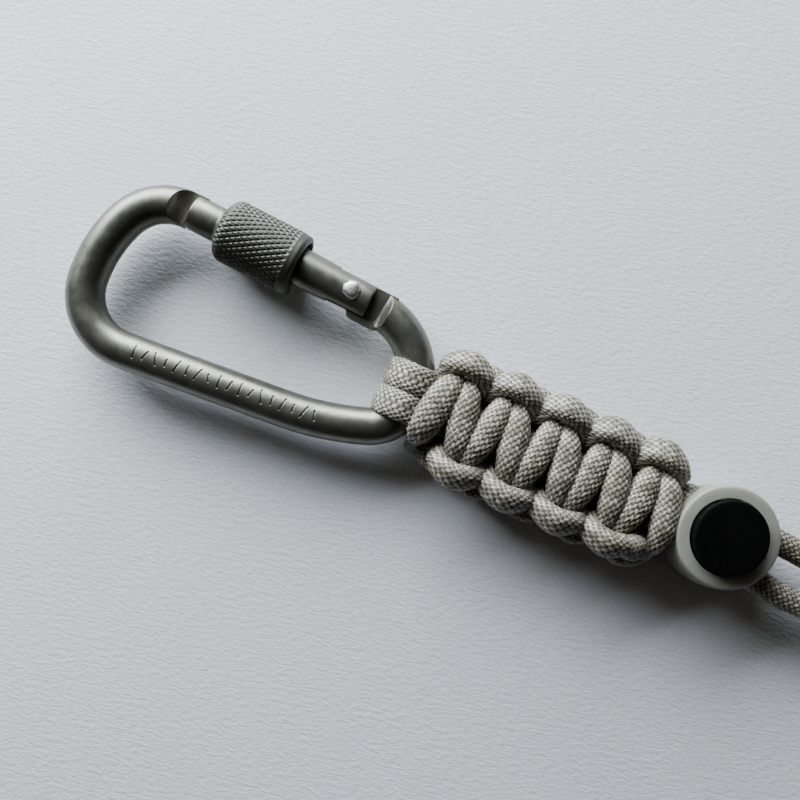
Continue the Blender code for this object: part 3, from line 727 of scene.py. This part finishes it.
def roll(rows):
    """The weave lies slightly rolled about its axis, more towards the lock, with a little skew."""
    x, y, z = rows[:, 0], rows[:, 1].copy(), rows[:, 2].copy()
    # The far edge leans in over the front as the weave goes on.
    along = np.clip(x / 40, 0, 1.1) * np.clip((y - 2.0) / 3.0, 0, 1) * np.clip((z + 1.0) / 2.5, 0, 1)
    y -= along * (0.85 - 0.1 * np.clip(y - 5, 0, 3))
    rows[:, 6] *= 1 + 0.16 * along * (y > 5.5)
    a = np.radians(3.0 + 4.0 * np.clip(x / 40, 0, 1))
    rows[:, 1] = y * np.cos(a) + z * np.sin(a)
    rows[:, 2] = z * np.cos(a) - (y - 3.0) * np.sin(a)
    oy, oz = rows[:, 4].copy(), rows[:, 5].copy()
    rows[:, 4] = oy * np.cos(a) + oz * np.sin(a)
    rows[:, 5] = oz * np.cos(a) - oy * np.sin(a)
    rows[:, 0] = x - 0.003 * np.clip(x - 7, 0, None) * np.clip(y, 0, None)
    return rows


def turn_over(rows):
    return rows * np.array([1, -1, -1, 1, -1, -1, 1, 1])


def clear_of_rod(obj):
    """Presses the cord in where the rod would touch it, anywhere in the fob's swing."""
    path, _ = rod_path()
    inverse = np.array(WEAVE.inverted() @ PLAN)
    rod = np.column_stack([path, np.full(len(path), MID), np.ones(len(path))]) @ inverse[:3].T
    rod = rod[(rod[:, 0] > -9) & (rod[:, 0] < 9)]
    rod = np.vstack([rod[:-1] + (rod[1:] - rod[:-1]) * t for t in (0.0, 0.25, 0.5, 0.75)])
    to_weave = np.array(WEAVE.inverted())
    points = np.array([v.co for v in obj.data.vertices]) / MM @ to_weave[:3, :3].T + to_weave[:3, 3]
    near = points[:, 0] < 9
    moved = points[near]
    for angle in np.radians(np.linspace(-75, 75, 13)).tolist() * 2:
        c, s = math.cos(angle), math.sin(angle)
        turned = np.array(((c, 0, s), (0, 1, 0), (-s, 0, c)))
        swung = moved @ turned.T
        gap = np.linalg.norm(swung[:, None] - rod[None], axis=2)
        nearest = gap.argmin(1)
        gap = gap[np.arange(len(gap)), nearest]
        away = (swung - rod[nearest]) / gap[:, None]
        swung += away * np.clip(ROD_R + 0.12 - gap, 0, None)[:, None]
        moved = swung @ turned
    points[near] = moved
    obj.data.vertices.foreach_set("co", to_row(points, WEAVE).astype(np.float32).ravel())
    obj.data.update()


def make_weave():
    pieces = (("weave_front", weave_rows(), "weave_cord_front", 3.0),)
    pieces += (("weave_back", turn_over(weave_rows(behind=True)), "weave_cord_back", 8.0),)
    for name, strand, node, seed in pieces:
        obj = cord(name, strand, WEAVE, seed, bend=roll, twist=0.006, step=0.21, per_column=3)
        clear_of_rod(obj)
        dress(obj, SHEATH, "fob", [node])


def make_beads():
    """Melted cut ends, pressed against the edge."""
    end = weave_rows()[-1]
    sides = (("melted_end_front", "cord_bead_front", 1), ("melted_end_back", "cord_bead_back", -1))
    for name, node, flip in sides:
        tip = np.array([end[0] - 1.5, end[1] * flip, end[2] * flip])
        path, widths, thicks = [], [], []
        for t in np.linspace(0, 1, 9):
            swell = math.sqrt(max(0.0, 1 - (2 * t - 1) ** 2)) + 0.02
            path.append(tip + np.array([2.1 - 4.3 * t, -0.15 * flip, -0.35 * flip]))
            widths.append(2.3 * swell)
            thicks.append(1.6 * swell)
        out = np.array([0.0, math.cos(math.radians(-48)) * flip, math.sin(math.radians(-48)) * flip])
        rows = np.column_stack([path, np.tile(out, (9, 1)), widths, thicks])
        obj = cord(name, rows, WEAVE, 5.0 + flip, step=0.12, relief=0.08, bend=roll)
        dress(obj, MELT, "fob", [node])


def make_wraps():
    """The two turns of cord over the rod."""
    angles = np.radians(np.linspace(52, 308, 15))
    centre_x, radius = -0.15, 4.0
    turns = (("wrap_upper", "rod_wrap_upper", 2.85, 1.0), ("wrap_lower", "rod_wrap_lower", -1.7, 2.0))
    for name, node, offset, seed in turns:
        rows = []
        for x, z in ((8.0, 0.9), (5.4, 1.9)):
            rows.append((x, offset * 0.8, z, 0.35, 0, 0.93, 2.1, 1.1))
        for a in angles:
            c, s = math.cos(a), math.sin(a)
            rows.append((centre_x + radius * c, offset, radius * s, c, 0, s, 2.3, 0.95))
        for x, z in ((5.4, -1.9), (8.0, -0.9)):
            rows.append((x, offset * 0.8, z, 0.35, 0, -0.93, 2.1, 1.1))
        obj = cord(name, rows, WEAVE, seed, squareness=2.8)
        dress(obj, SHEATH, "fob", [node])


def lock_at(along, across, z=0.0):
    p = WEAVE.inverted() @ LOCK @ Vector((along, across, z))
    return (p.x, p.y, p.z)


def make_core():
    """The hidden core in the weave, and the strands that run through the lock into the finger loop.

    The strands run parallel over the lock's travel, so that it slides along them.
    """
    for name, node, side in (("core_left", "core_cord_left", 1), ("core_right", "core_cord_right", -1)):
        rows = [(x, side * 1.75, 0.0, 0, 0, 1, 1.75, 1.75) for x in (6.5, 18.0, 30.0, 40.0)]
        obj = cord(name, rows, WEAVE, 6.0 + side, step=0.3)
        dress(obj, SHEATH, "fob", [node])
    half = [(38.5, 1.75, 0.0), (43.5, 2.3, 0.0)]
    through = ((-6.0, 2.95), (0.0, 3.05), (8.5, 3.5), (14.0, 3.6), (20.0, 3.25), (26.0, 3.1))
    through += ((31.0, 3.22), (35.0, 3.8))
    half += [lock_at(a, y) for a, y in through]
    far = ((41.5, 5.3, -0.3), (47.5, 6.3, -1.0), (54.0, 7.0, -2.2), (59.5, 5.4, -2.9), (62.4, 2.6, -3.15))
    half += [lock_at(a, y, z) for a, y, z in far]
    other = []
    for i, (x, y, z) in enumerate(half):
        p = LOCK.inverted() @ WEAVE @ Vector((x, y, z))
        other.append(lock_at(p.x, -p.y, p.z) if i > 1 else (x, -y, z))
    tip = [lock_at(63.0, 0.0, -3.2)]
    path = half + tip + other[::-1]
    rows = [(*p, 0, 0, 1, 2.0, 1.95) for p in path]
    obj = cord("finger_loop", rows, WEAVE, 9.0, step=0.18)
    obj.data.materials.append(SHEATH)
    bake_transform(obj)
    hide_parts("loop_end")


# ---------------------------------------------------------------- cord lock
def level(z):
    return z - MID


# The lock leans back towards the weave, and a little over its far side, with its foot flat on the table.
TOP = level(10.6)
LEAN = Matrix(((1, 0, -0.15, 0.15 * TOP), (0, 1, 0.05, -0.05 * TOP), (0, 0, 1, 0), (0, 0, 0, 1)))
LOCK_LEAN = LOCK @ LEAN


def make_lock():
    outer = [(0.0, level(0.0)), (7.2, level(0.0))]
    round_corner(outer, (7.65, level(0.45)), 0.45, -80, 0, 5)
    wall = ((8.15, 1.4), (8.2, 2.6), (8.22, 3.8), (8.22, 5.2), (8.2, 6.4), (8.15, 7.4))
    wall += ((8.08, 8.4), (8.0, 9.3), (7.93, 10.0))
    outer += [(radius, level(z)) for radius, z in wall]
    round_corner(outer, (7.48, level(10.2)), 0.42, 10, 90, 5)
    outer += [(6.8, level(10.62)), (0.0, level(10.62))]
    body = lathe("lock_shell", outer, LOCK_LEAN, 128, sharp=None)
    bore = lathe("bore", [(0, level(0.6)), (5.98, level(0.6)), (5.98, 10), (0, 10)], LOCK_LEAN, 128)
    oval = []
    for y, start in ((3.5, -90), (-3.5, 90)):
        ends = np.radians(np.linspace(start, start + 180, 17))
        oval += [(y + 2.18 * math.cos(a), 2.18 * math.sin(a)) for a in ends]
    lengthwise = LOCK @ Matrix.Rotation(math.pi / 2, 4, "Z") @ Matrix.Rotation(math.pi / 2, 4, "X")
    channel = plate("channel", oval, -12, 12, lengthwise)
    carve(body, [(bore, "DIFFERENCE"), (channel, "DIFFERENCE")], 35)
    dress(body, MILKY, "lock", ["lock_body"])

    profile = [(0.0, level(2.5)), (5.4, level(2.5)), (5.7, level(2.8))]
    profile += [(5.7, level(z)) for z in (5.0, 8.0, 10.0, 11.7)]
    round_corner(profile, (5.35, level(11.8)), 0.35, 0, 80, 6)
    profile += [(5.05, level(12.17)), (4.0, level(12.14)), (0.0, level(12.1))]
    button = lathe("push_button", profile, LOCK_LEAN, 128, sharp=30)
    slot = box("slot", (-8, -5.5, level(2.92)), (8, 5.27, 3.5), LOCK)
    carve(button, [(slot, "DIFFERENCE")], 30)
    dress(button, BLACK, "button", ["lock_button"])


def spring(name, matrix, radii, ends, turns, body):
    """A wire spring climbing along X, with closer coils at its ends.
    """
    t = np.linspace(0, 1, int(turns * 32) + 1)
    angle = math.tau * turns * t
    height = ends[0] + (ends[1] - ends[0]) * (t - 0.18 * np.sin(2 * math.tau * t) / math.tau)
    radius = radii[0] + (radii[1] - radii[0]) * t
    arms = np.stack([0 * t, np.cos(angle), np.sin(angle)], -1)
    path = arms * radius[:, None]
    path[:, 0] = height
    wire = np.full(len(t), 0.21)
    around = np.linspace(0, math.tau, 12, endpoint=False)[None, :] + 0 * t[:, None]
    rings, _ = sections(path, arms, wire, wire, around)
    obj = dress(grid_solid(name + "_coil", rings, matrix), SPRING, body, [name])
    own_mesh(obj)


def make_springs():
    spring("gate_spring", GATE, (1.15, 1.15), (7.56, 13.5), 7.5, "gate")
    upright = LOCK @ Matrix.Rotation(-math.pi / 2, 4, "Y")
    ends, foot = (level(0.95), level(2.15)), level(0.74)
    spring("lock_spring", upright, (4.6, 2.4), ends, 2.5, "lock")


def dress_hidden():
    """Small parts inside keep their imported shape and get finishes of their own."""
    for node, material in (("gate_plunger", STEEL), ("sleeve_ring", RUBBER)):
        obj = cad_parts[node]
        obj.data.materials.clear()
        obj.data.materials.append(material)
        obj.data.shade_smooth()


# ---------------------------------------------------------------- surroundings
def make_floor():
    mesh = bpy.data.meshes.new("paper_floor")
    s = 1.6  # half its side, in metres
    mesh.from_pydata([(-s, -s, 0), (s, -s, 0), (s, s, 0), (-s, s, 0)], [], [(0, 1, 2, 3)])
    floor = add_object("paper_floor", mesh)
    floor.location.z = -0.00005
    mesh.materials.append(paper("paper"))


TURN = math.radians(20)  # the camera's roll. RIGHT and AHEAD are its picture's axes on the table
RIGHT = Vector((math.cos(TURN), math.sin(TURN), 0))
AHEAD = Vector((-math.sin(TURN), math.cos(TURN), 0))


def area_light(name, right, ahead, up, size, power, colour):
    """A rectangular lamp, placed in metres and aimed at the origin."""
    data = bpy.data.lights.new(name, "AREA")
    data.shape = "RECTANGLE"
    data.size, data.size_y = size
    data.energy = power
    data.color = colour
    lamp = add_object(name, data)
    lamp.location = RIGHT * right + AHEAD * ahead + Vector((0, 0, up))
    lamp.rotation_euler = (-lamp.location).to_track_quat("-Z", "Y").to_euler()
    return lamp


def make_light():
    area_light("window", -0.15, 0.345, 0.145, (0.46, 0.24), 7.8, (0.9, 0.955, 1.0))
    world = bpy.data.worlds.new("room")
    bpy.context.scene.world = world
    world.use_nodes = True
    tree = world.node_tree
    background = tree.nodes["Background"]
    # The room is brighter towards the window and dark behind the viewer.
    place = tree.nodes.new("ShaderNodeTexCoord")
    facing = tree.nodes.new("ShaderNodeVectorMath")
    facing.operation = "DOT_PRODUCT"
    facing.inputs[1].default_value = (AHEAD * 0.85 - RIGHT * 0.45 + Vector((0, 0, 0.1))).normalized()
    tree.links.new(place.outputs["Generated"], facing.inputs[0])
    ramp = tree.nodes.new("ShaderNodeValToRGB")
    stops = ((0.0, (0.03, 0.026, 0.02)), (0.55, (0.05, 0.044, 0.036)))
    stops += ((0.8, (0.19, 0.165, 0.135)), (1.0, (0.62, 0.565, 0.49)))
    elements = ramp.color_ramp.elements
    while len(elements) < len(stops):
        elements.new(0.5)
    for element, (at, colour) in zip(elements, stops):
        element.position = at
        element.color = (*colour, 1)
    spread = tree.nodes.new("ShaderNodeMath")
    spread.operation = "MULTIPLY_ADD"
    spread.inputs[1].default_value = 0.5
    spread.inputs[2].default_value = 0.5
    tree.links.new(facing.outputs["Value"], spread.inputs[0])
    tree.links.new(spread.outputs[0], ramp.inputs["Fac"])
    tree.links.new(ramp.outputs["Color"], background.inputs["Color"])
    background.inputs["Strength"].default_value = 0.39


def make_camera():
    data = bpy.data.cameras.new("camera")
    data.lens = 34.56
    data.sensor_width = 36.0
    data.clip_start = 0.005
    camera = add_object("camera", data)
    camera.location = (-0.030763, -0.000458, 0.12615)
    camera.rotation_euler = (0, 0, TURN)
    bpy.context.scene.camera = camera


make_frame()
make_gate()
make_rivet()
make_sleeve()
make_wraps()
make_weave()
make_beads()
make_core()
make_lock()
make_springs()
dress_hidden()
make_floor()
make_light()
make_camera()
